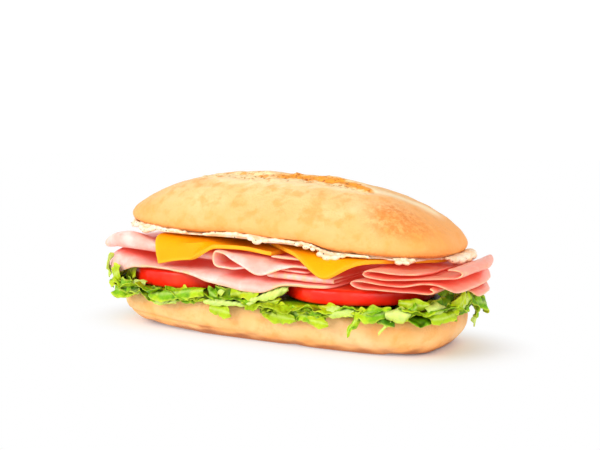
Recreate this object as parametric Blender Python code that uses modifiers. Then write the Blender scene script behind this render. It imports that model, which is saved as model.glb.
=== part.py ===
"""A ham and cheese sandwich on a split ciabatta roll, lying on its base.

X runs along the roll, -Y is the front, +Z is up, and the origin is the middle of the base.
From the base up: bottom of the roll, frilly lettuce, two tomato slices, folded ham,
two cheese slices, a white spread, and the top of the roll, which leans down towards +X.
"""

import math

import bmesh
import bpy
from mathutils import Vector, noise

MM = 0.001

# Driving sizes of the roll. Every height below is the one at x = 0, before the lean.
HALF_LENGTH = 100 * MM
HALF_WIDTH = 43 * MM
BASE_CUT = 20 * MM  # cut face of the bottom half
TOP_CUT = 54.3 * MM  # cut face of the top half
CROWN = 33.2 * MM  # height of the top half above its cut face
LEAN = -0.058  # rise of the top's cut face along +X, as a slope
BASE_SQUARENESS = 4.0  # power of the plan's superellipse: 2 is an ellipse
LIP_SQUARENESS = 3.3
CROWN_SQUARENESS = 2.3
CLEARANCE = 0.3 * MM  # gap between pieces that rest on each other

# Heights and thicknesses of the filling, at the middle of each sheet
LOW_LEAF = 22 * MM
HIGH_LEAF = 23.8 * MM
LEAF_THICKNESS = 0.8 * MM
TOMATO_BASE = 24.7 * MM
LEFT_TOMATO_THICKNESS = 10 * MM
RIGHT_TOMATO_THICKNESS = 8.4 * MM
HAM_THICKNESS = 1.5 * MM
CHEESE_THICKNESS = 2.0 * MM
CHEESE_SIDE = 78 * MM
LEFT_CHEESE_LENGTH = 75 * MM
LEFT_CHEESE = 48.2 * MM
RIGHT_CHEESE = 50.9 * MM
SPREAD_BASE = 52.7 * MM
SPREAD_TOP = TOP_CUT - CLEARANCE


# Shared helpers


def smooth(low, high, value):
    """0 below low, 1 above high, and an even curve between them."""
    t = min(max((value - low) / (high - low), 0.0), 1.0)
    return t * t * (3 - 2 * t)


def between(a, b, share):
    return a + (b - a) * share


def bump(middle, half_width, value):
    """1 at the middle, falling evenly to 0 at half_width to each side."""
    return 1 - smooth(0, half_width, abs(value - middle))


def leaned(x, z):
    """A height in the filling after the lean: all of it at the top half, none at the bottom."""
    share = min(max((z - BASE_CUT) / (TOP_CUT - BASE_CUT), 0.0), 1.0)
    reach = min(max(x, -HALF_LENGTH), HALF_LENGTH)
    return z + LEAN * reach * share


def plan_edge(x, half_length, half_width, power=LIP_SQUARENESS):
    """Half the width of a superellipse plan at x."""
    share = min(abs(x) / half_length, 1.0)
    return half_width * (1 - share**power) ** (1 / power)


def bend(distance, radius, angle):
    """Where a sheet is, this far past a fold line: (forward, down). A negative angle turns up."""
    turn, way = abs(angle), math.copysign(1, angle)
    if distance <= radius * turn:
        turned = max(distance, 0) / radius
        return radius * math.sin(turned), way * radius * (1 - math.cos(turned))
    rest = distance - radius * turn
    forward = radius * math.sin(turn) + rest * math.cos(turn)
    return forward, way * (radius * (1 - math.cos(turn)) + rest * math.sin(turn))


def eased(value, keys):
    """A value eased between the keys (position, value), which are in order."""
    for (a, low), (b, high) in zip(keys, keys[1:]):
        if value <= b:
            return between(low, high, smooth(a, b, value))
    return keys[-1][1]


def finish(name, colour, roughness):
    material = bpy.data.materials.new(name)
    material.use_nodes = True
    shader = material.node_tree.nodes["Principled BSDF"]
    shader.inputs["Base Color"].default_value = (*colour, 1)
    shader.inputs["Roughness"].default_value = roughness
    material.diffuse_color = (*colour, 1)
    return material


def piece(bm, name, material, collection):
    """A named, smooth-shaded object from a bmesh."""
    mesh = bpy.data.meshes.new(name)
    bm.to_mesh(mesh)
    bm.free()
    mesh.materials.append(material)
    obj = bpy.data.objects.new(name, mesh)
    collection.objects.link(obj)
    mesh.shade_smooth()
    mesh.set_sharp_from_angle(angle=math.radians(50))
    return obj


def sheet(name, cuts, thickness, place, material, collection):
    """A thin piece: a grid whose points go where place(u, v) says, given a thickness."""
    bm = bmesh.new()
    bmesh.ops.create_grid(bm, x_segments=cuts[0], y_segments=cuts[1], size=1)
    for vertex in bm.verts:
        vertex.co = place((vertex.co.x + 1) / 2, (vertex.co.y + 1) / 2)
    obj = piece(bm, name, material, collection)
    solidify = obj.modifiers.new("Thickness", "SOLIDIFY")
    solidify.thickness = thickness
    solidify.offset = 0
    return obj


# The roll


def loaf(name, cuts, plan, section, relief, material, collection):
    """A rounded loaf from a cube cut into a grid.

    section(t) gives (share of the plan, inset, height) along the loaf's section, where t is 0
    at the middle of the top, 1 to 2 down the side, and 3 at the middle of the base.
    plan(share) gives the plan's half length, half width and squareness at that share.
    """
    bm = bmesh.new()
    bmesh.ops.create_cube(bm, size=2)
    for axis, count in enumerate(cuts):
        normal = Vector((axis == 0, axis == 1, axis == 2))
        for i in range(1, count):
            bmesh.ops.bisect_plane(
                bm,
                geom=bm.verts[:] + bm.edges[:] + bm.faces[:],
                dist=1e-7,
                plane_co=normal * (2 * i / count - 1),
                plane_no=normal,
            )
    for vertex in bm.verts:
        a, b, c = vertex.co
        ring = max(abs(a), abs(b))
        t = ring if c > 0 else 3 - ring
        if ring > 1 - 1e-5:
            t = 1 + (1 - c) / 2
        share, inset, z = section(t)
        half_length, half_width, power = plan(share)
        size = (abs(a) ** power + abs(b) ** power) ** (1 / power) or 1
        x = (half_length - inset) * share * a / size
        y = (half_width - inset) * share * b / size
        vertex.co = relief(Vector((x, y, z)), t)
    bmesh.ops.recalc_face_normals(bm, faces=bm.faces)
    bmesh.ops.dissolve_limit(
        bm, angle_limit=math.radians(0.2), verts=bm.verts, edges=bm.edges
    )
    return piece(bm, name, material, collection)


LEFT_END_OF_BASE = 1.025  # length of the base's -X half, as a share of the +X half's
LEFT_UPTURN = 3.2 * MM


def base_plan(_share):
    return HALF_LENGTH, HALF_WIDTH, BASE_SQUARENESS


def base_section(t):
    """Flat cut face, bulging side, rounded lower edge and flat base."""
    cut_inset, foot_inset = 1.2 * MM, 8 * MM
    if t <= 1:
        return t, cut_inset, BASE_CUT
    if t < 2:
        down = t - 1
        inset = cut_inset * (1 - smooth(0, 0.4, down))
        inset += foot_inset * max((down - 0.35) / 0.65, 0) ** 2.6
        return 1, inset, BASE_CUT * (1 - down**1.15)
    return 3 - t, foot_inset, 0.0


def base_relief(point, t):
    """The side is a little uneven. The -X end is longer, and its underside curves up."""
    if 1 < t < 2:
        outward = Vector((point.x / HALF_LENGTH, point.y / HALF_WIDTH, 0)).normalized()
        point += outward * 0.7 * MM * noise.noise(point / (26 * MM))
    point.z += LEFT_UPTURN * smooth(40 * MM, 98 * MM, -point.x) * (1 - point.z / BASE_CUT)
    if point.x < 0:
        point.x *= LEFT_END_OF_BASE
    return point


def top_plan(share):
    squareness = between(CROWN_SQUARENESS, LIP_SQUARENESS, smooth(0.3, 1, share))
    return HALF_LENGTH + 1 * MM, HALF_WIDTH + 1 * MM, squareness


def top_section(t):
    """A domed crust down to a rounded lip, then a flat cut face underneath."""
    lip, lip_inset, lip_at = 3.6 * MM, 2.2 * MM, 1.8
    if t <= lip_at:
        turn = t / lip_at * math.pi / 2
        share = max(math.sin(turn), 0) ** (2 / 2.2)
        return share, 0, between(lip, CROWN, max(math.cos(turn), 0) ** (2 / 1.65))
    if t < 2:
        return 1, lip_inset * (t - lip_at) / (2 - lip_at), lip * (2 - t) / (2 - lip_at)
    return 3 - t, lip_inset, 0.0


LEFT_END_OF_TOP = 0.97  # length of the top's -X half, as a share of the +X half's
LEFT_FALL = 0.06  # how much lower the crown is towards the -X end, as a share
RIGHT_RISE = 0.05
LIP_ARCH = 2.8 * MM  # how far the front of the lip arches up over the middle of the filling


def lip_arch(x, y):
    """How far the lip is raised here. It falls back steeply on the +X side."""
    raised = smooth(-40 * MM, -8 * MM, x) * (1 - smooth(36 * MM, 47 * MM, x))
    return LIP_ARCH * raised * smooth(-20 * MM, -40 * MM, y)


# The slash along the crown, torn open in the oven
SLASH_MIDDLE = 1 * MM
SLASH_HALF_LENGTH = 57 * MM
SLASH_HALF_WIDTH = 8 * MM
SLASH_Y = -9 * MM
SLASH_DEPTH = 1.7 * MM
EAR_HEIGHT = 1.0 * MM  # the raised far edge
NEAR_EDGE_HEIGHT = 0.6 * MM


def slash_relief(x, y):
    """Height of the slash's groove and torn edges above the smooth crust."""
    along = (x - SLASH_MIDDLE) / SLASH_HALF_LENGTH
    if abs(along) >= 1:
        return 0.0
    open_share = math.sqrt(1 - along * along)
    across = (y - SLASH_Y - 2 * MM * math.sin(4 * along)) / (SLASH_HALF_WIDTH * open_share + 1 * MM)
    groove = -SLASH_DEPTH * bump(0, 1, across)
    ear_height = EAR_HEIGHT * (1 + 1.3 * smooth(0, 45 * MM, x))
    ear = ear_height * bump(1.1, 0.8, across) * (1 + 0.35 * math.sin(17 * along))
    near_edge = NEAR_EDGE_HEIGHT * bump(-1.1, 0.6, across)
    return (groove + ear + near_edge) * smooth(0, 0.35, open_share)


def top_relief(point, t):
    """The slash, a lumpy crust, and the lean of the whole top."""
    fall = LEFT_FALL * smooth(66 * MM, 96 * MM, -point.x)
    point.z *= 1 - fall + RIGHT_RISE * smooth(5 * MM, 55 * MM, point.x)
    if t < 1.9:
        lumps = 0.9 * MM * noise.noise(point / (30 * MM))
        point.z += (lumps + slash_relief(point.x, point.y)) * (1 - smooth(1.3, 1.9, t))
    point.z += lip_arch(point.x, point.y) * (1 - smooth(5 * MM, 20 * MM, point.z))
    x = point.x * LEFT_END_OF_TOP if point.x < 0 else point.x
    return Vector((x, point.y, point.z + TOP_CUT + LEAN * x))


# The spread. Its lumps show under the top's lip: (place along the front, half width, depth)
LUMPS = [
    (-86 * MM, 13 * MM, 1.5 * MM),
    (-58 * MM, 14 * MM, 0.5 * MM),
    (-12 * MM, 16 * MM, 0.4 * MM),
    (12 * MM, 7 * MM, 0.6 * MM),
    (47 * MM, 9 * MM, 0.4 * MM),
    (89 * MM, 8 * MM, 1.2 * MM),
]
END_LUMP = 2.8 * MM  # depth of the lump at the +X end


def spread_plan(_share):
    return HALF_LENGTH, HALF_WIDTH, LIP_SQUARENESS


def spread_section(t):
    """A thin layer whose rim is thicker than its middle."""
    if t <= 1:
        return t, 4 * MM, SPREAD_TOP
    if t < 1.5:
        return 1, 0.6 * MM, between(SPREAD_BASE, SPREAD_TOP, 0.55)
    if t < 2:
        return 1, 0.8 * MM, SPREAD_BASE
    return 3 - t, 6 * MM, SPREAD_BASE


def spread_relief(point, t):
    """Lumps along the front and at the +X end, and smaller waves at the back."""
    if 1 < t < 2:
        lump = max(depth * bump(x, width, point.x) for x, width, depth in LUMPS)
        if point.y > 0:
            lump = 0.25 * MM * (1 + math.sin(point.x / (7 * MM)))
        lump = max(lump, END_LUMP * bump(10 * MM, 14 * MM, point.y) * (point.x > 90 * MM))
        outward = Vector((point.x / HALF_LENGTH**2, point.y / HALF_WIDTH**2, 0)).normalized()
        point += outward * (lump * 1.1 - 0.8 * MM)
        if t > 1.5:
            point.z -= lump
    point.z += 0.8 * lip_arch(point.x, point.y)
    return Vector((point.x, point.y, leaned(point.x, point.z)))


def make_roll(crust, spread_white, collection):
    loaf("roll_bottom", (22, 10, 5), base_plan, base_section, base_relief, crust, collection)
    loaf("roll_top", (34, 14, 5), top_plan, top_section, top_relief, crust, collection)
    loaf("spread", (36, 10, 3), spread_plan, spread_section, spread_relief, spread_white, collection)


# The cheese


def make_left_cheese(cheese, collection):
    """A trimmed slice. It hangs over the front edge at its left, and lies on the ham at its right."""
    left, front = -63 * MM, -56 * MM
    hangs, lies = math.radians(78), math.radians(4)
    raised = 2.2 * MM

    def place(u, v):
        x = left + LEFT_CHEESE_LENGTH * u
        fold = -plan_edge(x, HALF_LENGTH, HALF_WIDTH) + 1.5 * MM
        lying = smooth(-32 * MM, -18 * MM, x)
        drawn_back = 9 * MM * lying + 9 * MM * smooth(-16 * MM, 6 * MM, x)
        y = front + CHEESE_SIDE * v**1.6 + drawn_back + 0.09 * (x - left) * (1 - lying)
        at_front = (1 - smooth(fold, fold + 5 * MM, y)) * (1 - smooth(9 * MM, 14 * MM, x))
        lift = raised * max(at_front, 1 - smooth(-30 * MM, -13 * MM, x))
        forward, down = bend(fold - y, 4.5 * MM, between(hangs, lies, lying)) if y < fold else (0, 0)
        slanted = 0.45 * down * (1 - smooth(0, 32 * MM, x - left))
        return Vector((x + slanted, max(y, fold) - forward, leaned(x, LEFT_CHEESE) + lift - down))

    sheet("cheese_left", (12, 8), CHEESE_THICKNESS, place, cheese, collection)


def make_right_cheese(cheese, collection):
    """A square slice turned cornerwise, with one soft corner hanging over the front."""
    middle_x, middle_y = 44 * MM, -5 * MM
    turned, hangs = math.radians(52), math.radians(62)

    def place(u, v):
        rounding = 1 - 0.07 * abs((2 * u - 1) * (2 * v - 1)) ** 5
        p, q = (u - 0.5) * CHEESE_SIDE * rounding, (v - 0.5) * CHEESE_SIDE * rounding
        x = middle_x + p * math.cos(turned) - q * math.sin(turned)
        y = middle_y + p * math.sin(turned) + q * math.cos(turned)
        fold = -plan_edge(min(x, 75 * MM), HALF_LENGTH, HALF_WIDTH) + 0.8 * MM
        forward, down = bend(fold - y, 9 * MM, hangs) if y < fold else (0, 0)
        return Vector((x, max(y, fold) - forward, leaned(x, RIGHT_CHEESE) - down))

    sheet("cheese_right", (11, 11), CHEESE_THICKNESS, place, cheese, collection)


# The tomato


def make_tomato(name, middle, radius, thickness, flesh, collection):
    """A thick round slice with slightly lobed, rounded skin."""
    bm = bmesh.new()
    bmesh.ops.create_cone(
        bm, cap_ends=True, segments=36, radius1=radius, radius2=radius, depth=thickness
    )
    for vertex in bm.verts:
        around = math.atan2(vertex.co.y, vertex.co.x)
        lobe = 1 + 0.012 * math.cos(5 * around + middle.x / MM)
        vertex.co.x *= lobe
        vertex.co.y *= lobe
    slice_object = piece(bm, name, flesh, collection)
    slice_object.location = middle + Vector((0, 0, TOMATO_BASE + thickness / 2))
    bevel = slice_object.modifiers.new("Skin edge", "BEVEL")
    bevel.width = 1.8 * MM
    bevel.segments = 2
    bevel.limit_method = "ANGLE"


def make_tomatoes(flesh, collection):
    left, right = Vector((-57, -4.5, 0)) * MM, Vector((46, -2.5, 0)) * MM
    make_tomato("tomato_left", left, 38.5 * MM, LEFT_TOMATO_THICKNESS, flesh, collection)
    make_tomato("tomato_right", right, 41 * MM, RIGHT_TOMATO_THICKNESS, flesh, collection)


# The ham


def ribbon(name, count, station, ham, collection):
    """A folded slice. station(u) gives the points of its folded line at a share of its length."""
    rows = [station(i / count) for i in range(count + 1)]
    across = len(rows[0]) - 1

    def place(u, v):
        return rows[round(u * count)][round(v * across)]

    sheet(name, (count, across), HAM_THICKNESS, place, ham, collection)


def front_fold(x, inner, low, high, front, low_front, high_front, back, droop):
    """A line across the sandwich, folded round at the front, from its low limb to its high one."""
    mouth = front + 8 * MM
    middle, half = (low_front + high_front) / 2, (high_front - low_front) / 2
    points = [(inner, low), (between(inner, mouth, 0.5), low), (mouth, between(low, low_front, 0.6))]
    for turn in (-90, -45, 0, 45, 90):
        turn = math.radians(turn)
        points.append((front + half * (1 - math.cos(turn)), middle + half * math.sin(turn)))
    points += [
        (mouth, between(high, high_front, 0.6)),
        (between(mouth, back, 0.2), high),
        (between(mouth, back, 0.5), high),
        (back - 12 * MM, high),
        (back, high - droop),
    ]
    return [Vector((x, y, leaned(x, z))) for y, z in points]


# Height of the long slice's front edge along the roll
BASE_HAM_EDGE = [
    (-110 * MM, 30.5 * MM),
    (-96 * MM, 29 * MM),
    (-74 * MM, 35 * MM),
    (-61 * MM, 36.3 * MM),
    (-40 * MM, 35 * MM),
    (-22 * MM, 31 * MM),
    (4 * MM, 27.6 * MM),
    (12 * MM, 28 * MM),
    (24 * MM, 33.6 * MM),
    (53 * MM, 34.4 * MM),
]


def make_base_ham(ham, collection):
    """The long slice at the bottom. It lies over both tomatoes and sags between them."""

    def station(u):
        x = between(-110, 53, u) * MM
        front = -plan_edge(x, 112 * MM, 46.5 * MM, 4)
        over_tomatoes = 0.8 * MM * smooth(9 * MM, 17 * MM, -x) + 0.6 * MM * smooth(14 * MM, 50 * MM, x)
        raised = 4.2 * MM * (smooth(66 * MM, 94 * MM, -x) - 0.9 * smooth(96 * MM, 112 * MM, -x))
        inside = leaned(x, 34.9 * MM + over_tomatoes + raised)
        edge = min(eased(x, BASE_HAM_EDGE), inside)
        back, mouth = 40 * MM, front + 10 * MM
        points = [
            (47 * MM, inside - 3 * MM),
            (back, inside),
            (between(back, mouth, 0.4), inside),
            (between(back, mouth, 0.75), inside),
            (mouth, inside),
            (front + 3 * MM, between(edge, inside, 0.85)),
            (front + 0.4 * MM, between(edge, inside, 0.45)),
            (front, edge),
        ]
        return [Vector((x, y, z)) for y, z in points]

    ribbon("ham_base", 24, station, ham, collection)


def make_left_ham(ham, collection):
    """The folded slice that sticks out at the -X end."""

    def station(u):
        x = between(-112, -24, u) * MM
        under_cheese = smooth(-76 * MM, -67 * MM, x)
        front = -plan_edge(x, 115 * MM, 47 * MM, 4) + 7.5 * MM * under_cheese
        low_front = between(42.2 * MM, 41.4 * MM, under_cheese)
        high_front = between(51 * MM, 45.2 * MM, under_cheese)
        high_front = between(high_front, 44.6 * MM, smooth(80 * MM, 111 * MM, -x))
        drop = 3 * MM * smooth(94 * MM, 112 * MM, -x)
        points = front_fold(
            x, 22 * MM, 41.9 * MM, 45.2 * MM, front, low_front, high_front, 44 * MM, 4 * MM
        )
        return [point - Vector((0, 0, drop)) for point in points]

    ribbon("ham_left", 10, station, ham, collection)


def make_middle_ham(ham, collection):
    """Three slices between the cheese slices. The broad one is folded at its -X end, like a lip."""

    def inner(u):
        x = between(13, 52, u) * MM
        front = -44.2 * MM + 2 * MM * u
        return front_fold(
            x, 20 * MM, 37.4 * MM, 39.55 * MM, front, 37.35 * MM, 39.6 * MM, 42 * MM, 1 * MM
        )

    def broad(u):
        depth = u**1.5
        points = []
        for x in (52, 40, 30, 22, 14, 6, -2, -9, -14):
            spread_out = 1 - smooth(17, 29, x)
            y = between(between(-45, -50.5, spread_out), 38, depth)
            at_front = 1 - smooth(-46, -38, y)
            left = 1 - smooth(2, 13, x)
            z = between(between(43.8, 45.3, left), between(44.9, 48.0, left), at_front)
            z -= 7.5 * spread_out * smooth(-12, 6, x) * (1 - smooth(-51, -44, y))
            points.append((x, y, z))
        middle, half = between(43.8, 43.2, smooth(0, 0.4, depth)), between(4.2, 2.2, smooth(0, 0.4, depth))
        for turn in (60, 20, -20, -60):
            turn = math.radians(turn)
            x = -15 - 2.4 * math.cos(turn)
            points.append((x, between(-49.5, 38, depth), middle + half * math.sin(turn)))
        for x in (-12, -5, 3, 12, 24, 38):
            y = between(between(-49.5, -43, smooth(-6, 8, x)), 38, depth)
            low = between(39.7, 41.6, smooth(-6, 9, x))
            points.append((x, y, between(low, 41.5, smooth(0, 0.35, depth))))
        return [Vector((x * MM, y * MM, leaned(x * MM, z * MM))) for x, y, z in points]

    def upper(u):
        x = between(15, 53, u) * MM
        front = between(-45.5 * MM, -41.5 * MM, smooth(13 * MM, 26 * MM, x))
        points = [
            (front, 47.9 * MM),
            (front + 3 * MM, 48.0 * MM),
            (-33 * MM, 46.9 * MM),
            (-20 * MM, 46.1 * MM),
            (10 * MM, 45.9 * MM),
            (38 * MM, 45.9 * MM),
            (47 * MM, 43 * MM),
        ]
        return [Vector((x, y, leaned(x, z))) for y, z in points]

    ribbon("ham_middle_inner", 7, inner, ham, collection)
    ribbon("ham_middle_broad", 9, broad, ham, collection)
    ribbon("ham_middle_upper", 6, upper, ham, collection)


def end_fold(keys, across_share):
    """A folded line along the roll, at a share of the way from the front edge to the back one."""
    points = []
    for x, z in keys:
        edge = plan_edge(x * MM, 124 * MM, 45.5 * MM)
        y = between(-edge, edge, across_share)
        shortened = 0.75 * smooth(5 * MM, 38 * MM, y) * max(x - 104, 0)
        x = (x - shortened) * MM
        points.append(Vector((x, y, leaned(x, z * MM))))
    return points


def make_right_ham(ham, collection):
    """Slices folded in an S along the roll, so that their loops show at the front and the end."""

    def low(u):
        shift = 2.5 * math.sin(3 * u)
        keys = [
            (99, 40.0),
            (101.5, 39.8),
            (102.8, 38.5),
            (101.5, 37.2),
            (98, 36.8),
            (90, 36.9),
            (78, 36.9),
            (67, 36.7),
            (62.5, 37.4),
            (61, 39.0),
            (62.5, 40.6),
            (67, 41.3),
            (76, 40.0),
            (88, 39.7),
            (95, 42.2),
            (101, 42.6),
            (107, 40.8),
            (112, 36.8),
        ]
        return end_fold([(x + shift * (x < 90), z) for x, z in keys], u)

    def high(u):
        shift = 3 * math.sin(2 * u + 1) - 2.4
        keys = [
            (106, 50.0),
            (111, 51.4),
            (114.5, 49.4),
            (113.5, 46.6),
            (106, 45.3),
            (92, 44.4),
            (80, 43.1),
            (72, 43.2),
            (68.5, 43.9),
            (67.5, 45.3),
            (69, 46.8),
            (73, 47.4),
            (82, 47.0),
            (92, 47.2),
            (99, 47.5),
        ]
        return end_fold([(x + shift * (x < 90), z) for x, z in keys], u)

    def end(u):
        keys = [(91, 33.2), (98, 34.4), (104, 34.9), (109, 34.1), (113, 31)]
        return end_fold(keys, between(0.42, 0.9, u))

    ribbon("ham_right_low", 8, low, ham, collection)
    ribbon("ham_right_high", 8, high, ham, collection)
    ribbon("ham_right_end", 5, end, ham, collection)


# The lettuce

CORNER = 27 * MM  # corner radius of the line round the roll that the leaves follow
LEAF_INNER = -24 * MM  # where a leaf starts, inside that line


def rim(distance):
    """A point on the line round the roll, and its outward direction.

    distance runs anticlockwise from the left end of the straight front.
    """
    half_x, half_y = HALF_LENGTH - CORNER, HALF_WIDTH - CORNER
    arc = CORNER * math.pi / 2
    runs = [
        (2 * half_x, Vector((-half_x, -half_y, 0)), 270),
        (2 * half_y, Vector((half_x, -half_y, 0)), 0),
        (2 * half_x, Vector((half_x, half_y, 0)), 90),
        (2 * half_y, Vector((-half_x, half_y, 0)), 180),
    ]
    distance %= sum(length + arc for length, _, _ in runs)
    for length, start, facing in runs:
        out = Vector((math.cos(math.radians(facing)), math.sin(math.radians(facing)), 0))
        ahead = Vector((-out.y, out.x, 0))
        if distance <= length:
            return start + ahead * distance + out * CORNER, out
        distance -= length
        if distance <= arc:
            turn = distance / CORNER
            out = out * math.cos(turn) + ahead * math.sin(turn)
            return start + ahead * length + out * CORNER, out
        distance -= arc
    return None


def make_leaf(name, start, end, height, reach, angle, phase, leaf, collection):
    """A strip of lettuce along the rim that ruffles more towards its outer edge.

    angle(distance) is how steeply it hangs there.
    """
    rows = [LEAF_INNER, -4 * MM, 3 * MM, 7 * MM, 13 * MM]
    wave = 22 * MM

    def place(u, v):
        distance = between(start, end, u)
        point, out = rim(distance)
        tucked = 1 - 0.6 * smooth(0, 30 * MM, point.y) * max(out.x, 0)
        past = rows[round(v * (len(rows) - 1))]
        ruffle = smooth(0, 13 * MM, past)
        turn = angle(distance)
        uneven = 1 + 0.35 * math.sin(distance / (13 * MM) + phase)
        forward, down = bend(past * (reach / (13 * MM)) * uneven, 4 * MM, turn)
        swing = 2.6 * MM * ruffle * math.sin(2 * math.pi * distance / wave + phase)
        lift = Vector((0, 0, height - down)) + swing * (
            Vector((0, 0, math.cos(turn))) + out * math.sin(turn)
        )
        outward = past if past < 0 else forward * tucked
        ripple = 0.2 * MM * math.sin(distance / (5 * MM)) * (1 - ruffle)
        return point + out * outward + lift + Vector((0, 0, ripple))

    cuts = round((end - start) / wave * 4), len(rows) - 1
    sheet(name, cuts, LEAF_THICKNESS, place, leaf, collection)


def make_lettuce(leaf, collection):
    """Two rounds of leaves: the low one hangs over the roll's edge, the high one flares out."""
    quarter = 131.8 * MM
    seam = 4 * MM

    def low_angle(distance):
        return math.radians(27 + 13 * math.sin(distance / (27 * MM) - 1.5))

    def high_angle(distance):
        return low_angle(distance) - math.radians(30)

    for layer, height, first, reach, angle in (
        ("low", LOW_LEAF, -48 * MM, 5.5 * MM, low_angle),
        ("high", HIGH_LEAF, -106 * MM, 9 * MM, high_angle),
    ):
        for i in range(4):
            start = first + i * quarter
            make_leaf(
                f"lettuce_{layer}_{i + 1}",
                start,
                start + quarter - seam,
                height,
                reach,
                angle,
                0.4,
                leaf,
                collection,
            )


def main():
    for obj in list(bpy.data.objects):
        bpy.data.objects.remove(obj)
    sandwich = bpy.data.collections.new("ham and cheese sandwich")
    bpy.context.scene.collection.children.link(sandwich)
    crust = finish("Crust", (0.89, 0.62, 0.30), 0.75)
    spread_white = finish("Spread", (0.93, 0.86, 0.72), 0.4)
    cheese = finish("Cheese", (0.95, 0.52, 0.02), 0.45)
    flesh = finish("Tomato", (0.80, 0.05, 0.02), 0.3)
    ham = finish("Ham", (0.90, 0.52, 0.44), 0.5)
    leaf = finish("Lettuce", (0.38, 0.58, 0.06), 0.5)
    make_roll(crust, spread_white, sandwich)
    make_left_cheese(cheese, sandwich)
    make_right_cheese(cheese, sandwich)
    make_tomatoes(flesh, sandwich)
    make_base_ham(ham, sandwich)
    make_left_ham(ham, sandwich)
    make_middle_ham(ham, sandwich)
    make_right_ham(ham, sandwich)
    make_lettuce(leaf, sandwich)


main()
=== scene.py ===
# %% [markdown]
# # A ham and cheese sandwich on a ciabatta roll
#
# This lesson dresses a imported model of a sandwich. The model is the frame: it has the right
# sizes and places for the roll, the ham, the cheese, the tomato, the lettuce and the spread.
# Each cell takes one piece and asks what it is on the real sandwich, and how to make it.
#
# Lengths are in metres. X runs along the roll, the front is at -Y, and Z is up.

# %% Load the frame
import math
import random

import bmesh
import bpy
import numpy as np
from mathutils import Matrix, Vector


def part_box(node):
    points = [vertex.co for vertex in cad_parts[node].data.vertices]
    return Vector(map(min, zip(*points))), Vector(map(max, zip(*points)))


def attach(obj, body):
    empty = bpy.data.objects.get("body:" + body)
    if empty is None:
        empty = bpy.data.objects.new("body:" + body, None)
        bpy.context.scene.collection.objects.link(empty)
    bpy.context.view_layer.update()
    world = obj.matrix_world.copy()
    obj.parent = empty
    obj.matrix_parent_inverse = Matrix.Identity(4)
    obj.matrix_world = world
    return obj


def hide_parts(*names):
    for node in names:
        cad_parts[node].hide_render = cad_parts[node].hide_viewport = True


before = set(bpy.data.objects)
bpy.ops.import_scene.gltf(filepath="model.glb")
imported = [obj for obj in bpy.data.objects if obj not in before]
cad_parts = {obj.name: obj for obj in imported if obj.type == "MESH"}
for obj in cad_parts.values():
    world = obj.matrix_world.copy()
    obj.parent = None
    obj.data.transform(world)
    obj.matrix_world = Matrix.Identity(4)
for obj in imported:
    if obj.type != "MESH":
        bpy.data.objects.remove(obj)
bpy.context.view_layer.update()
MM = 0.001
random.seed(7)
print("pieces in the frame:", sorted(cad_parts))

# %% [markdown]
# ## Camera
#
# The photograph looks a little down on the front and the +X end of the roll. The camera stands
# at that angle, about half a metre away, and aims at the middle of the picture, so that the
# frame needs no shift and other views of the sandwich stay centred too.

# %% Camera
CAMERA_PLACE = Vector((0.2812, -0.4589, 0.1134))
CAMERA_AIM = Vector((-0.0012, 0.0133, 0.0577))
CAMERA_LENS = 58.1

bpy.ops.object.camera_add(location=CAMERA_PLACE)
camera = bpy.context.object
camera.name = "camera"
camera.data.lens = CAMERA_LENS
camera.data.sensor_width = 36
camera.rotation_euler = (CAMERA_AIM - CAMERA_PLACE).to_track_quat("-Z", "Y").to_euler()
bpy.context.scene.camera = camera
print("camera aims", round((CAMERA_AIM - CAMERA_PLACE).length, 3), "m away")

# %% [markdown]
# ## Floor and light
#
# The sandwich stands on plain white, lit as on a product table. Away from the roll the floor
# glows as evenly as the walls, so no horizon shows and the shadow stays small. The ceiling is
# dimmer. A large soft lamp at the front left is the key light, and a larger one fills from the
# right. The larger the lamp, the softer the shadow. The Standard view keeps yellow cheese and
# green leaves as strong as they are.

# %% Floor
FLOOR_SIDE = 6.0
FLOOR_DROP = 0.3 * MM
FLOOR_WHITE = (0.94, 0.94, 0.94, 1)
ROLL_REACH = 85 * MM  # half the length of the line that the glow keeps away from
GLOW_START = 12 * MM
GLOW_FULL = 60 * MM

bpy.ops.mesh.primitive_plane_add(size=FLOOR_SIDE, location=(0, 0, -FLOOR_DROP))
floor = bpy.context.object
floor.name = "floor"
floor_paint = bpy.data.materials.new("floor white")
floor_paint.use_nodes = True
floor_nodes = floor_paint.node_tree.nodes
floor_links = floor_paint.node_tree.links
floor_shader = floor_nodes["Principled BSDF"]
floor_shader.inputs["Base Color"].default_value = FLOOR_WHITE
floor_shader.inputs["Roughness"].default_value = 0.8
floor_place = floor_nodes.new("ShaderNodeTexCoord")
size_of_place = floor_nodes.new("ShaderNodeVectorMath")
size_of_place.operation = "ABSOLUTE"
floor_links.new(floor_place.outputs["Object"], size_of_place.inputs[0])
past_roll = floor_nodes.new("ShaderNodeVectorMath")
past_roll.operation = "SUBTRACT"
past_roll.inputs[1].default_value = (ROLL_REACH, 0, 0)
floor_links.new(size_of_place.outputs["Vector"], past_roll.inputs[0])
outside_roll = floor_nodes.new("ShaderNodeVectorMath")
outside_roll.operation = "MAXIMUM"
floor_links.new(past_roll.outputs["Vector"], outside_roll.inputs[0])
from_roll = floor_nodes.new("ShaderNodeVectorMath")
from_roll.operation = "LENGTH"
floor_links.new(outside_roll.outputs["Vector"], from_roll.inputs[0])
glow = floor_nodes.new("ShaderNodeMapRange")
glow.interpolation_type = "SMOOTHSTEP"
glow.inputs["From Min"].default_value = GLOW_START
glow.inputs["From Max"].default_value = GLOW_FULL
floor_links.new(from_roll.outputs["Value"], glow.inputs["Value"])
glowing = floor_nodes.new("ShaderNodeEmission")
blend = floor_nodes.new("ShaderNodeMixShader")
floor_links.new(glow.outputs["Result"], blend.inputs["Fac"])
floor_links.new(floor_shader.outputs["BSDF"], blend.inputs[1])
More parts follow.
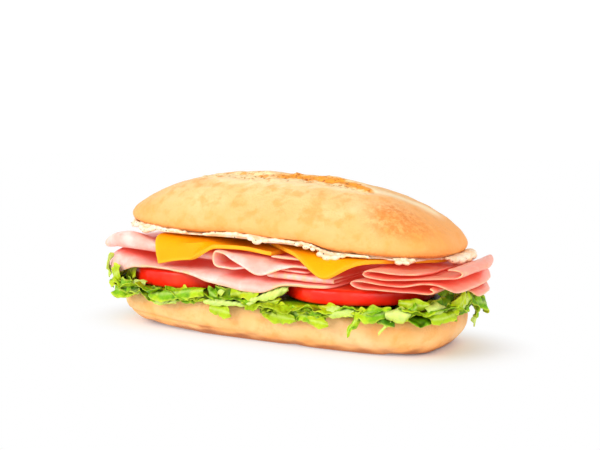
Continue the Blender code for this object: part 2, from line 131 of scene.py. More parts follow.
floor_links.new(glowing.outputs["Emission"], blend.inputs[2])
floor_links.new(blend.outputs["Shader"], floor_nodes["Material Output"].inputs["Surface"])
floor.data.materials.append(floor_paint)
print("floor side", FLOOR_SIDE)

# %% Walls and ceiling
WALL_LIGHT = 1.2
CEILING_LIGHT = 0.5

world = bpy.data.worlds.new("white studio")
bpy.context.scene.world = world
world.use_nodes = True
world_nodes = world.node_tree.nodes
direction = world_nodes.new("ShaderNodeTexCoord")
upward = world_nodes.new("ShaderNodeSeparateXYZ")
world.node_tree.links.new(direction.outputs["Generated"], upward.inputs["Vector"])
dimming = world_nodes.new("ShaderNodeMapRange")
dimming.inputs["From Min"].default_value = 0.3
dimming.inputs["From Max"].default_value = 0.7
dimming.inputs["To Min"].default_value = WALL_LIGHT
dimming.inputs["To Max"].default_value = CEILING_LIGHT
world.node_tree.links.new(upward.outputs["Z"], dimming.inputs["Value"])
world.node_tree.links.new(dimming.outputs["Result"], world_nodes["Background"].inputs["Strength"])
world_nodes["Background"].inputs["Color"].default_value = (1, 1, 1, 1)
bpy.context.scene.view_settings.view_transform = "Standard"

# %% Lamps
SANDWICH_MIDDLE = Vector((0, 0, 0.045))


def softbox(name, place, side, power, colour):
    """A square area light that faces the middle of the sandwich."""
    bpy.ops.object.light_add(type="AREA", location=place)
    lamp = bpy.context.object
    lamp.name = name
    lamp.data.size = side
    lamp.data.energy = power
    lamp.data.color = colour
    lamp.rotation_euler = (SANDWICH_MIDDLE - lamp.location).to_track_quat("-Z", "Y").to_euler()


softbox("key light", (-0.4, -0.85, 0.52), 0.5, 5.4, (1, 0.99, 0.975))
softbox("fill light", (0.75, -0.75, 0.4), 0.8, 5.2, (1, 0.985, 0.96))

# %% [markdown]
# ## Tools for every piece
#
# A piece starts as a copy of its node, because the node has the true place and size. The copy's
# loose triangles are merged and paired into quads, which subdivide evenly. A modifier is applied
# as soon as it is set, so that the next step works on real points.

# %% Editing helpers


def only(piece):
    """Makes the piece the one selected object."""
    bpy.ops.object.select_all(action="DESELECT")
    piece.select_set(True)
    bpy.context.view_layer.objects.active = piece


def copy_of_node(node, name):
    """An editable copy of a node's mesh, merged and turned to quads."""
    piece = bpy.data.objects.new(name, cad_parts[node].data.copy())
    bpy.context.scene.collection.objects.link(piece)
    piece.data.materials.clear()
    only(piece)
    bpy.ops.object.mode_set(mode="EDIT")
    bpy.ops.mesh.select_all(action="SELECT")
    bpy.ops.mesh.customdata_custom_splitnormals_clear()
    bpy.ops.mesh.remove_doubles(threshold=0.001 * MM)
    bpy.ops.mesh.tris_convert_to_quads(
        face_threshold=math.radians(50), shape_threshold=math.radians(70)
    )
    bpy.ops.object.mode_set(mode="OBJECT")
    return piece


def modify(piece, kind, **settings):
    """Adds a modifier with these settings and applies it."""
    modifier = piece.modifiers.new(kind.title(), kind)
    for setting, value in settings.items():
        setattr(modifier, setting, value)
    only(piece)
    bpy.ops.object.modifier_apply(modifier=modifier.name)


def subdivide(piece, levels):
    modify(piece, "SUBSURF", levels=levels, render_levels=levels, subdivision_type="CATMULL_CLARK")


def noise_field(name, size, depth=2, colour=False):
    """Soft cloud noise whose lumps are about this size, in metres."""
    texture = bpy.data.textures.new(name, "CLOUDS")
    texture.noise_scale = size
    texture.noise_depth = depth
    texture.cloud_type = "COLOR" if colour else "GRAYSCALE"
    return texture


def roughen(piece, texture, strength, direction="NORMAL", group=""):
    """Pushes the surface in and out by the noise. RGB_TO_XYZ moves both faces of a sheet alike."""
    modify(
        piece,
        "DISPLACE",
        texture=texture,
        strength=strength,
        mid_level=0.5,
        direction=direction,
        vertex_group=group,
    )


def places(piece):
    """The places of the piece's points as rows of an array."""
    flat = np.empty(len(piece.data.vertices) * 3, np.float32)
    piece.data.vertices.foreach_get("co", flat)
    return flat.reshape(-1, 3).astype(float)


def put(piece, points):
    """Moves the piece's points to these places."""
    piece.data.vertices.foreach_set("co", np.asarray(points, np.float32).ravel())
    piece.data.update()


def weigh(piece, group, weights):
    """A vertex group with one weight for each point."""
    made = piece.vertex_groups.new(name=group)
    steps = np.round(np.clip(weights, 0, 1) * 50).astype(int)
    for step in np.unique(steps[steps > 0]):
        made.add(np.flatnonzero(steps == step).tolist(), float(step) / 50, "REPLACE")


def paint(piece, name, values):
    """A number at each point, which the piece's material reads by this name."""
    layer = piece.data.attributes.new(name, "FLOAT", "POINT")
    layer.data.foreach_set("value", np.clip(values, 0, 1).astype(np.float32))


def ramp(low, high, values):
    """0 below low, 1 above high, and an even curve between them."""
    t = np.clip((values - low) / (high - low), 0, 1)
    return t * t * (3 - 2 * t)


def wander(at, size, seed):
    """Smooth uneven values, mostly from -1 to 1, whose lumps are about this size."""
    chance = np.random.default_rng(seed)
    ways = chance.normal(size=(7, 3))
    ways *= math.tau / size / np.linalg.norm(ways, axis=1, keepdims=True)
    return 1.6 * np.sin(at @ ways.T + chance.uniform(0, math.tau, 7)).mean(axis=1)


def evened(piece, values, times):
    """The values after each point has taken its neighbours' mean this often."""
    ends = np.empty(len(piece.data.edges) * 2, np.int32)
    piece.data.edges.foreach_get("vertices", ends)
    a, b = ends.reshape(-1, 2).T
    beside = np.bincount(ends, minlength=len(values))
    for _ in range(times):
        total = np.bincount(a, values[b], len(values)) + np.bincount(b, values[a], len(values))
        values = (values + total) / (1 + beside)
    return values


def complete(piece, material, slot, *nodes):
    """Smooth shading, the material, and the piece's place in the frame."""
    only(piece)
    bpy.ops.object.shade_smooth()
    piece.vertex_groups.clear()
    piece.data.materials.append(material)
    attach(piece, "root")
    if nodes:
        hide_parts(*nodes)
    print(piece.name, len(piece.data.polygons), "faces")


# %% [markdown]
# ## Materials
#
# Food is never one flat colour. Each material mixes two or three colours from the real thing by
# noise, and by numbers that are painted on the piece's points, such as how toasted the crust is
# there. Some light goes a little way into food, so subsurface scattering softens each one.

# %% Material helpers


def srgb(red, green, blue):
    """A colour as seen on screen, from 0 to 255, as the linear numbers a shader takes."""
    return tuple(
        (c / 12.92 if c <= 0.04045 else ((c + 0.055) / 1.055) ** 2.4)
        for c in (red / 255, green / 255, blue / 255)
    ) + (1,)


class Finish:
    """A Principled material that is built up one layer at a time."""

    def __init__(self, name, roughness, subsurface=0.0, depth=1.0 * MM, reach=(1, 0.4, 0.2)):
        self.material = bpy.data.materials.new(name)
        self.material.use_nodes = True
        self.tree = self.material.node_tree
        self.shader = self.tree.nodes["Principled BSDF"]
        self.shader.inputs["Roughness"].default_value = roughness
        self.shader.inputs["Subsurface Weight"].default_value = subsurface
        self.shader.inputs["Subsurface Scale"].default_value = depth
        self.shader.inputs["Subsurface Radius"].default_value = reach
        self.place = self.tree.nodes.new("ShaderNodeTexCoord").outputs["Object"]
        self.colour = None
        self.height = None

    def noise(self, size, low, high, detail=4.0, rough=0.55):
        """Noise whose lumps are about this size, stretched so that low is 0 and high is 1."""
        texture = self.tree.nodes.new("ShaderNodeTexNoise")
        texture.inputs["Scale"].default_value = 1 / size
        texture.inputs["Detail"].default_value = detail
        texture.inputs["Roughness"].default_value = rough
        self.tree.links.new(self.place, texture.inputs["Vector"])
        return self.stretched(texture.outputs["Fac"], low, high)

    def stretched(self, value, low, high):
        stretch = self.tree.nodes.new("ShaderNodeMapRange")
        stretch.interpolation_type = "SMOOTHSTEP"
        stretch.inputs["From Min"].default_value = low
        stretch.inputs["From Max"].default_value = high
        self.tree.links.new(value, stretch.inputs["Value"])
        return stretch.outputs["Result"]

    def painted(self, name):
        """The number that is painted on the points under this name."""
        attribute = self.tree.nodes.new("ShaderNodeAttribute")
        attribute.attribute_name = name
        return attribute.outputs["Fac"]

    def maths(self, operation, a, b):
        node = self.tree.nodes.new("ShaderNodeMath")
        node.operation = operation
        node.use_clamp = True
        for socket, value in zip(node.inputs, (a, b)):
            if isinstance(value, (int, float)):
                socket.default_value = value
            else:
                self.tree.links.new(value, socket)
        return node.outputs["Value"]

    def layer(self, colour, share=None):
        """Lays a colour over the ones so far, by this share."""
        if self.colour is None:
            first = self.tree.nodes.new("ShaderNodeRGB")
            first.outputs["Color"].default_value = colour
            self.colour = first.outputs["Color"]
            return
        mix = self.tree.nodes.new("ShaderNodeMix")
        mix.data_type = "RGBA"
        self.tree.links.new(share, mix.inputs["Factor"])
        self.tree.links.new(self.colour, mix.inputs["A"])
        mix.inputs["B"].default_value = colour
        self.colour = mix.outputs["Result"]

    def relief(self, value, strength, depth):
        """A bump of this depth, over the bumps so far."""
        bump = self.tree.nodes.new("ShaderNodeBump")
        bump.inputs["Strength"].default_value = strength
        bump.inputs["Distance"].default_value = depth
        self.tree.links.new(value, bump.inputs["Height"])
        if self.height is not None:
            self.tree.links.new(self.height, bump.inputs["Normal"])
        self.height = bump.outputs["Normal"]

    def glow(self, colour, share, strength):
        """Painted light: an emission in place of light that comes through thin food, by this share."""
        mix = self.tree.nodes.new("ShaderNodeMix")
        mix.data_type = "RGBA"
        self.tree.links.new(share, mix.inputs["Factor"])
        mix.inputs["A"].default_value = (0, 0, 0, 1)
        mix.inputs["B"].default_value = colour
        self.tree.links.new(mix.outputs["Result"], self.shader.inputs["Emission Color"])
        self.shader.inputs["Emission Strength"].default_value = strength

    def done(self):
        self.tree.links.new(self.colour, self.shader.inputs["Base Color"])
        if self.height is not None:
            self.tree.links.new(self.height, self.shader.inputs["Normal"])
        return self.material


# %% [markdown]
# ## Crust
#
# The roll was dusted with flour and baked pale. Its colour drifts between floury cream and gold,
# and it is more golden low on its side. The +X end and the lower lip are the most baked. The
# torn slash shows pale crumbs, with painted shade for the dark pits among them, and an orange
# crest where the dough split last. The cut faces are crumb: cream, with small holes.

# %% Crust material
crust = Finish("baked crust", 0.62, 0.12, 1.5 * MM, (1, 0.55, 0.3))
crust.layer(srgb(249, 194, 124))
crust.layer(srgb(252, 212, 152), crust.noise(20 * MM, 0.34, 0.76, 4))
crust.layer(srgb(240, 166, 80), crust.maths("MULTIPLY", crust.noise(8 * MM, 0.46, 0.68, 5), 0.7))
crust.layer(srgb(245, 154, 58), crust.painted("toast"))
crust.layer(srgb(254, 230, 186), crust.painted("flour"))
crust.layer(srgb(253, 222, 164), crust.painted("torn"))
# Painted shade: dark pits in the torn crumb.
crust.layer(
    srgb(206, 138, 74),
    crust.maths("MULTIPLY", crust.painted("torn"), crust.noise(2.4 * MM, 0.54, 0.68, 4)),
)
crust.layer(
    srgb(246, 158, 44),
    crust.maths("MULTIPLY", crust.painted("crest"), crust.noise(3 * MM, 0.12, 0.4, 4)),
)
crust.layer(
    srgb(186, 96, 22),
    crust.maths("MULTIPLY", crust.painted("crest"), crust.noise(2.6 * MM, 0.5, 0.68, 4)),
)
crust.layer(
    srgb(230, 138, 58),
    crust.maths("MULTIPLY", crust.painted("specks"), crust.noise(3.0 * MM, 0.36, 0.6, 9, rough=0.75)),
)
crust.layer(srgb(255, 240, 205), crust.painted("crumb"))
crust.layer(srgb(170, 92, 40), crust.painted("rim"))
crust.relief(crust.noise(1.1 * MM, 0.3, 0.7, 6), 0.35, 0.25 * MM)
crust.relief(crust.noise(5 * MM, 0.3, 0.7, 5), 0.4, 0.6 * MM)
crust_material = crust.done()
print("crust nodes:", len(crust.tree.nodes))

# %% [markdown]
# ## Top of the roll
#
# The node already has the dome, the lip and the slash. Subdividing rounds its facets, and a
# voxel remesh then gives even, small faces all over, which take fine relief well. Displacement
# by noise adds the crust's slow lumps, its fine skin, and the rough tear along the crown.

# %% Top of the roll
SLASH_MIDDLE = 1 * MM
SLASH_HALF_LENGTH = 57 * MM
SLASH_HALF_WIDTH = 8 * MM
SLASH_Y = -9 * MM
TOP_CUT = 54.3 * MM
LEAN = -0.058

roll_top = copy_of_node("roll_top", "bread_top")
subdivide(roll_top, 2)
modify(roll_top, "REMESH", mode="VOXEL", voxel_size=0.95 * MM)
modify(roll_top, "SMOOTH", factor=0.6, iterations=6)

at = places(roll_top)
along = np.clip((at[:, 0] - SLASH_MIDDLE) / SLASH_HALF_LENGTH, -1, 1)
opened = np.sqrt(1 - along**2)
across = at[:, 1] - SLASH_Y - 2 * MM * np.sin(4 * along)
across /= SLASH_HALF_WIDTH * opened + 1 * MM
ragged = across + 0.22 * wander(at, 9 * MM, 1) + 0.15 * wander(at, 3.5 * MM, 2)
height = at[:, 2] - TOP_CUT - LEAN * at[:, 0]
crown = ramp(20 * MM, 27 * MM, height)
torn = crown * ramp(0.1, 0.4, opened) * (1 - ramp(0.8, 1.15, np.abs(ragged + 0.1)))
weigh(roll_top, "tear", torn)
weigh(roll_top, "skin", ramp(1.5 * MM, 5 * MM, height))
roughen(roll_top, noise_field("tear lumps", 5 * MM, 3), 2.8 * MM, group="tear")
roughen(roll_top, noise_field("tear crumbs", 1.8 * MM, 2), 1.5 * MM, group="tear")
roughen(roll_top, noise_field("crust lumps", 16 * MM, 2), 1.0 * MM, group="skin")
roughen(roll_top, noise_field("crust skin", 3.5 * MM, 3), 0.28 * MM, group="skin")

# %% Baking marks on the top
RIDGE_START, RIDGE_END = np.array([54, -7]) * MM, np.array([82, 8]) * MM
PIT_PLACE = np.array([80, -6]) * MM
SPECKS_PLACE = np.array([80, -25]) * MM

plan = at[:, :2]
ridge_way = RIDGE_END - RIDGE_START
on_ridge = np.clip((plan - RIDGE_START) @ ridge_way / (ridge_way @ ridge_way), 0, 1)
from_ridge = np.linalg.norm(plan - RIDGE_START - on_ridge[:, None] * ridge_way, axis=1)
from_pit = np.linalg.norm(plan - PIT_PLACE, axis=1)
from_specks = np.linalg.norm((plan - SPECKS_PLACE) * (0.8, 1), axis=1)
beside_slash = crown * (1 - ramp(0.1, 0.6, np.abs(np.abs(ragged) - 1.3)))
crest = ramp(-10 * MM, 0, at[:, 0]) * ramp(-0.2, 0.1, ragged)
crest = np.maximum(crest, 0.8 * ramp(0.3, 0.7, wander(at, 10 * MM, 3)))
end_bake = 0.75 * ramp(40 * MM, 98 * MM, at[:, 0])
side_bake = 0.65 * (1 - ramp(4 * MM, 28 * MM, height))
lip_bake = 0.85 * (1 - ramp(1.5 * MM, 6 * MM, height))

paint(roll_top, "torn", torn)
paint(roll_top, "crest", crest * torn)
paint(roll_top, "toast", np.maximum.reduce([end_bake, side_bake, lip_bake]) * (height > 0.4 * MM))
floury = 0.45 * beside_slash * ramp(0.05, 0.3, opened)
paint(roll_top, "flour", np.maximum(floury, 0.9 * np.exp(-((from_ridge / (5 * MM)) ** 2))))
paint(roll_top, "specks", (1 - ramp(6 * MM, 20 * MM, from_specks)) * ramp(6 * MM, 14 * MM, height))
paint(roll_top, "crumb", (height < 0.35 * MM).astype(float))
lip_line = 0.5 * (np.abs(height - 1.0 * MM) < 0.7 * MM)
paint(roll_top, "rim", np.maximum(lip_line, 0.7 * (from_pit < 1.4 * MM) * crown))
complete(roll_top, crust_material, "crust", "roll_top")

# %% [markdown]
# ## Bottom of the roll
#
# The bottom half is made as the top half is. Its lower edge touched the baking stone, so it is
# browner there, and folds of dough left creases low on its side.

# %% Bottom of the roll
BASE_CUT = 20 * MM

roll_bottom = copy_of_node("roll_bottom", "bread_bottom")
subdivide(roll_bottom, 2)
modify(roll_bottom, "REMESH", mode="VOXEL", voxel_size=1.0 * MM)
modify(roll_bottom, "SMOOTH", factor=0.6, iterations=4)

at = places(roll_bottom)
side = ramp(1 * MM, 4 * MM, at[:, 2]) * (1 - ramp(16 * MM, 19 * MM, at[:, 2]))
crease = np.exp(-(((at[:, 2] - 6.5 * MM - 1.6 * MM * np.sin(at[:, 0] / (17 * MM))) / (0.8 * MM)) ** 2))
crease *= 1 - ramp(-35 * MM, 5 * MM, at[:, 0])
weigh(roll_bottom, "side", side)
weigh(roll_bottom, "crease", crease)
roughen(roll_bottom, noise_field("base lumps", 14 * MM, 2), 0.9 * MM, group="side")
roughen(roll_bottom, noise_field("base skin", 3.5 * MM, 3), 0.25 * MM, group="side")
modify(roll_bottom, "DISPLACE", strength=-0.5 * MM, mid_level=0, vertex_group="crease")

low_bake = 0.5 * (1 - ramp(1.5 * MM, 9 * MM, at[:, 2])) + 0.35 * crease
base_marks = np.exp(-(((at[:, 2] - 4.4 * MM) / (1.2 * MM)) ** 2)) * ramp(-0.1, 0.7, wander(at, 13 * MM, 5))
cut_bake = 0.35 * ramp(20 * MM, 70 * MM, at[:, 0]) * ramp(6 * MM, 16 * MM, at[:, 2])
paint(roll_bottom, "toast", 0.22 + low_bake + cut_bake)
paint(roll_bottom, "flour", 0.35 * side * ramp(0, 1, wander(at, 40 * MM, 4)))
paint(roll_bottom, "crumb", (at[:, 2] > BASE_CUT - 0.6 * MM).astype(float))
base_edge = 0.9 * (1 - ramp(1.2 * MM, 4.6 * MM, at[:, 2] + wander(at, 9 * MM, 6) * 1.3 * MM))
paint(roll_bottom, "rim", np.maximum(base_edge, 0.4 * base_marks * (1 + crease)))
complete(roll_bottom, crust_material, "crust", "roll_bottom")

# %% [markdown]
# ## Lines round the roll
#
# The lettuce follows the bottom's outline, a rectangle with round corners, and the spread follows
# the lip of the top, which is rounder. Pieces that are placed along such a line need to know where
# it runs, which way is outwards, and how far out a place is.

# %% Lines round the roll
HALF_LENGTH = 100 * MM
HALF_WIDTH = 43 * MM
CORNER = 27 * MM
LIP_SQUARENESS = 3.3
LIP_LEFT_END = 97 * MM


class LineRound:
    """A closed line, by its points in order from the front middle towards +X."""

    def __init__(self, points):
        self.points = np.array(points + points[:1])
        steps = np.linalg.norm(np.diff(self.points, axis=0), axis=1)
        self.reached = np.concatenate([[0], np.cumsum(steps)])
        self.length = self.reached[-1]

    def at(self, along):
        """Places this far round, and their outward directions."""
        ahead, here = (
            np.stack(
                [
                    np.interp((along + step) % self.length, self.reached, self.points[:, i])
                    for i in (0, 1)
                ],
                -1,
            )
            for step in (1 * MM, 0)
        )
        way = ahead - here
        way /= np.linalg.norm(way, axis=-1, keepdims=True)
        return here, np.stack([way[..., 1], -way[..., 0]], -1)


corners = [(0.0, -HALF_WIDTH)]
for quarter, (x_way, y_way) in enumerate([(1, -1), (1, 1), (-1, 1), (-1, -1)]):
    for turn in np.linspace(0, math.pi / 2, 10) + (quarter - 1) * math.pi / 2:
        x = x_way * (HALF_LENGTH - CORNER) + CORNER * math.cos(turn)
        y = y_way * (HALF_WIDTH - CORNER) + CORNER * math.sin(turn)
        corners.append((x, y))
roll_line = LineRound(corners)

lip_points = []
for turn in np.linspace(-math.pi / 2, math.pi * 3 / 2, 240, endpoint=False):
    over, up = math.cos(turn), math.sin(turn)
    half = HALF_LENGTH if over > 0 else LIP_LEFT_END
    x = math.copysign(half * abs(over) ** (2 / LIP_SQUARENESS), over)
    lip_points.append((x, math.copysign(HALF_WIDTH * abs(up) ** (2 / LIP_SQUARENESS), up)))
lip_line_round = LineRound(lip_points)
print("round the roll and lip:", [round(line.length / MM) for line in (roll_line, lip_line_round)])


def beyond_roll(at):
    """How far each place is outside the line round the roll. It is negative inside the line."""
    over_x = np.abs(at[:, 0]) - (HALF_LENGTH - CORNER)
    over_y = np.abs(at[:, 1]) - (HALF_WIDTH - CORNER)
    corner = np.hypot(np.maximum(over_x, 0), np.maximum(over_y, 0))
    return corner + np.minimum(np.maximum(over_x, over_y), 0) - CORNER


# %% [markdown]
# ## Rims
#
# A slice of ham is paler round its edge, and a lettuce leaf is paler and yellower there. The
# node's thin side walls mark that edge: their sides are as short as the sheet is thick. The
# distance from those walls, at each point of the finished piece, is painted on as "rim".

# %% Rim helper
from mathutils.kdtree import KDTree


def edge_points(piece, thickness):
    """Points along the thin side walls of a sheet."""
    mesh = piece.data
    marks = []
    for edge in mesh.edges:
        a, b = (mesh.vertices[i].co for i in edge.vertices)
        if thickness * 0.8 < (a - b).length < thickness * 1.25:
            marks.append((a + b) / 2)
    dense = []
    for a in marks:
        near = sorted(marks, key=lambda b: (a - b).length_squared)[1:3]
        dense += [a.lerp(b, share) for b in near for share in (0, 0.25, 0.5)]
    tree = KDTree(len(dense))
    for i, point in enumerate(dense):
        tree.insert(point, i)
    tree.balance()
    return tree


def distances(piece, tree):
    """How far each point of the piece is from the nearest point of the tree."""
    return np.array([tree.find(vertex.co)[2] for vertex in piece.data.vertices])


# %% [markdown]
# ## Ham
#
# Cooked ham is moist and pale pink, with a pale orange rim and a faint grain of muscle. Its folds
# come from the nodes. Subdividing rounds them, and a small noise that moves both faces together
# keeps the slices from looking ironed. How closed in each point lies is measured with short rays
# and painted on. There the ham gets painted shade in dark red and a painted red glow, in place of
# the dim light that passes through the slices inside a fold.

# %% Closed-in places
from mathutils.bvhtree import BVHTree

STEPS = (-1, 0, 1)
LOOK_WAYS = [
    Vector((x, y, z)).normalized() for x in STEPS for y in STEPS for z in STEPS if (x, y, z) != (0, 0, 0)
]
LOOK_START = 0.6 * MM  # off the surface, so that a look doesn't meet its own face
OUTWARD = 0.45  # a look counts when it leaves the surface at least this steeply


def tree_of(pieces):
    """The faces of these pieces, ready for rays."""
    points, faces = [], []
    for piece in pieces:
        first = len(points)
        points += [vertex.co for vertex in piece.data.vertices]
        faces += [[first + i for i in face.vertices] for face in piece.data.polygons]
    return BVHTree.FromPolygons(points, faces)


def closed_in(piece, tree, reach, wanted):
    """The share of outward looks, from each wanted point, that meet the tree within this reach."""
    shares = np.zeros(len(piece.data.vertices))
    for i in np.flatnonzero(wanted):
        vertex = piece.data.vertices[i]
        start = vertex.co + vertex.normal * LOOK_START
        ways = [way for way in LOOK_WAYS if way.dot(vertex.normal) > OUTWARD]
        met = sum(tree.ray_cast(start, way, reach)[0] is not None for way in ways)
        shares[i] = met / len(ways)
    return shares


food_tree = tree_of(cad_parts.values())
print("looks from each point:", len(LOOK_WAYS))

# %% Ham material
ham = Finish("sliced ham", 0.4, 0.3, 2.0 * MM, (1, 0.42, 0.3))
ham.layer(srgb(244, 180, 166))
ham.layer(srgb(250, 206, 196), ham.noise(12 * MM, 0.4, 0.65, 3))
ham.layer(srgb(238, 162, 148), ham.maths("MULTIPLY", ham.noise(4 * MM, 0.55, 0.75, 5), 0.55))
# Painted light: a warmer salmon towards the +X end, for warm light reflected there.
ham.layer(srgb(250, 136, 98), ham.painted("warm_light"))
# Painted shade: dark red where the ham is closed in.
ham.layer(srgb(222, 76, 62), ham.painted("inner"))
ham.layer(srgb(250, 190, 142), ham.painted("rim"))
ham.relief(ham.noise(2.2 * MM, 0.3, 0.7, 5), 0.25, 0.25 * MM)
# Painted light: a red glow where the ham is closed in.
ham.glow(srgb(226, 70, 44), ham.painted("inner"), 0.22)
ham.shader.inputs["Coat Weight"].default_value = 0.1
ham.shader.inputs["Coat Roughness"].default_value = 0.3
ham_material = ham.done()

# %% Ham slices
HAM_THICKNESS = 1.5 * MM
HAM_LOOK = 9 * MM
HAM_DEPTH = -9 * MM  # further in than this nothing shows, and all is taken as closed in
ham_waves = noise_field("ham waves", 9 * MM, 1, colour=True)

for node in sorted(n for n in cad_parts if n.startswith("ham")):
    slice_of_ham = copy_of_node(node, node.replace("ham", "ham_slice"))
    rim_tree = edge_points(slice_of_ham, HAM_THICKNESS)
    subdivide(slice_of_ham, 2)
    rim = np.exp(-((distances(slice_of_ham, rim_tree) / (0.9 * MM)) ** 2))
    at = places(slice_of_ham)
    near_edge = beyond_roll(at) > HAM_DEPTH
    inside = closed_in(slice_of_ham, food_tree, HAM_LOOK, near_edge)
    inside[~near_edge] = 1
    inside = evened(slice_of_ham, inside, 6)
    roughen(slice_of_ham, ham_waves, 0.9 * MM, "RGB_TO_XYZ")
    paint(slice_of_ham, "rim", rim)
    # Painted warm light towards the +X end.
    paint(slice_of_ham, "warm_light", 0.7 * ramp(50 * MM, 74 * MM, at[:, 0]))
    # The share of painted shade and glow: closed-in places, away from the rim.
    paint(slice_of_ham, "inner", 0.7 * ramp(0.5, 1.0, inside) * (1 - rim))
    complete(slice_of_ham, ham_material, "ham", node)

# %% [markdown]
# ## Cheese
#
# Sliced processed cheese is smooth, deep yellow and a little waxy. Its edges are cut square and
# then soften, which one bevel and the subdivision give.

# %% Cheese
cheese = Finish("sliced cheese", 0.5, 0.15, 1.2 * MM, (1, 0.5, 0.05))
cheese.shader.inputs["Specular IOR Level"].default_value = 0.1
cheese.layer(srgb(252, 160, 0))
cheese.layer(srgb(254, 168, 0), cheese.noise(18 * MM, 0.4, 0.7, 2))
cheese.layer(srgb(255, 200, 60), cheese.maths("MULTIPLY", cheese.painted("rim"), 0.6))
cheese.relief(cheese.noise(3 * MM, 0.3, 0.7, 3), 0.12, 0.2 * MM)
cheese_material = cheese.done()

CHEESE_THICKNESS = 2.0 * MM
for side_name in ("left", "right"):
    node = f"cheese_{side_name}"
    cheese_slice = copy_of_node(node, f"cheese_slice_{side_name}")
    rim_tree = edge_points(cheese_slice, CHEESE_THICKNESS)
    modify(cheese_slice, "BEVEL", width=0.3 * MM, segments=2, limit_method="ANGLE", angle_limit=1.0)
    subdivide(cheese_slice, 2)
    paint(cheese_slice, "rim", np.exp(-((distances(cheese_slice, rim_tree) / (1.2 * MM)) ** 2)))
    complete(cheese_slice, cheese_material, "cheese", node)

# %% [markdown]
# ## Tomato
#
# The slices show their skin at the front: glossy, wet and deep red, a little lighter where the
# flesh starts. Each keeps the node's lobed round and rounded edge.

# %% Tomato
tomato = Finish("tomato skin and flesh", 0.3, 0.15, 2.0 * MM, (1, 0.2, 0.1))
tomato.shader.inputs["Specular IOR Level"].default_value = 0.3
tomato.layer(srgb(255, 34, 8))
tomato.layer(srgb(255, 70, 36), tomato.noise(22 * MM, 0.5, 0.75, 2))
tomato.layer(srgb(255, 110, 70), tomato.maths("MULTIPLY", tomato.painted("flesh"), 0.6))
tomato.relief(tomato.noise(6 * MM, 0.3, 0.7, 2), 0.2, 0.3 * MM)
tomato_material = tomato.done()

for side_name in ("left", "right"):
    node = f"tomato_{side_name}"
    tomato_slice = copy_of_node(node, f"tomato_slice_{side_name}")
    low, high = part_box(node)
    only(tomato_slice)
    bpy.ops.object.mode_set(mode="EDIT")
    bpy.ops.mesh.select_all(action="SELECT")
    bpy.ops.mesh.dissolve_limited(angle_limit=math.radians(1))
    bpy.ops.object.mode_set(mode="OBJECT")
    modify(tomato_slice, "REMESH", mode="VOXEL", voxel_size=0.9 * MM)
    modify(tomato_slice, "SMOOTH", factor=0.6, iterations=8)
    at = places(tomato_slice)
    middle = (low + high) / 2
    reach = np.hypot(at[:, 0] - middle.x, at[:, 1] - middle.y) / ((high.x - low.x) / 2)
    paint(tomato_slice, "flesh", 1 - ramp(0.93, 0.97, reach))
    complete(tomato_slice, tomato_material, "tomato", node)

# %% [markdown]
# ## Lettuce
#
# The roll is filled with chopped frilly lettuce: bright green blades, yellow-green where they
# are young, and pale at the ribs. The nodes give the long strips and their large waves. The
# closer to the outer edge, the more the leaf ruffles, so the noise is weighed by the distance
# out from the roll. Painted shade darkens the strips where they lie inside the roll's line, and
# darkens each leaf where others cover it, once all of them are made.

# %% Lettuce material
lettuce = Finish("lettuce leaf", 0.42, 0.2, 1.0 * MM, (0.6, 1, 0.15))
lettuce.layer(srgb(112, 172, 0))
lettuce.layer(srgb(170, 202, 8), lettuce.noise(9 * MM, 0.48, 0.6, 3))
lettuce.layer(srgb(62, 126, 4), lettuce.maths("MULTIPLY", lettuce.noise(5 * MM, 0.5, 0.64, 4), 0.85))
lettuce.layer(srgb(186, 204, 14), lettuce.painted("young"))
# Dark green for dark leaves, and painted shade inside the roll's line and in hollows.
lettuce.layer(srgb(46, 96, 4), lettuce.painted("deep"))
lettuce.layer(srgb(220, 232, 140), lettuce.painted("rib"))
lettuce.layer(srgb(216, 226, 70), lettuce.maths("MULTIPLY", lettuce.painted("rim"), 0.6))
# Painted shade where other leaves cover a leaf.
lettuce.layer(srgb(54, 74, 4), lettuce.maths("MULTIPLY", lettuce.painted("covered_shade"), 0.7))
lettuce.shader.inputs["Specular IOR Level"].default_value = 0.2
lettuce.relief(lettuce.noise(2.6 * MM, 0.3, 0.7, 5), 0.5, 0.5 * MM)
lettuce_material = lettuce.done()

# %% Lettuce leaves
LEAF_THICKNESS = 0.8 * MM
lettuce_pieces = []
large_frill = noise_field("large frill", 8 * MM, 1, colour=True)
small_frill = noise_field("small frill", 3 * MM, 1, colour=True)

for node in sorted(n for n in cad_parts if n.startswith("lettuce")):
    leaf = copy_of_node(node, node.replace("lettuce", "lettuce_leaf"))
    rim_tree = edge_points(leaf, LEAF_THICKNESS)
    subdivide(leaf, 3)
    at = places(leaf)
    rim = np.exp(-((distances(leaf, rim_tree) / (0.8 * MM)) ** 2))
    height = BASE_CUT + 2 * MM if "low" in node else BASE_CUT + 4 * MM
    past = beyond_roll(at) + np.maximum(height - at[:, 2], 0)
    frill = ramp(-2 * MM, 7 * MM, past)
    weigh(leaf, "frill", frill)
    roughen(leaf, large_frill, 4.6 * MM, "RGB_TO_XYZ", "frill")
    roughen(leaf, small_frill, 1.6 * MM, "RGB_TO_XYZ", "frill")
    paint(leaf, "rim", rim * frill)
    paint(leaf, "young", 0.5 * (np.sin(at[:, 0] / (19 * MM)) > 0.2) * frill)
    # Painted shade: darker where the strip lies inside the roll's line.
    paint(leaf, "deep", 1 - ramp(-5 * MM, -1 * MM, past))
    lettuce_pieces.append(leaf)
    complete(leaf, lettuce_material, "lettuce", node)

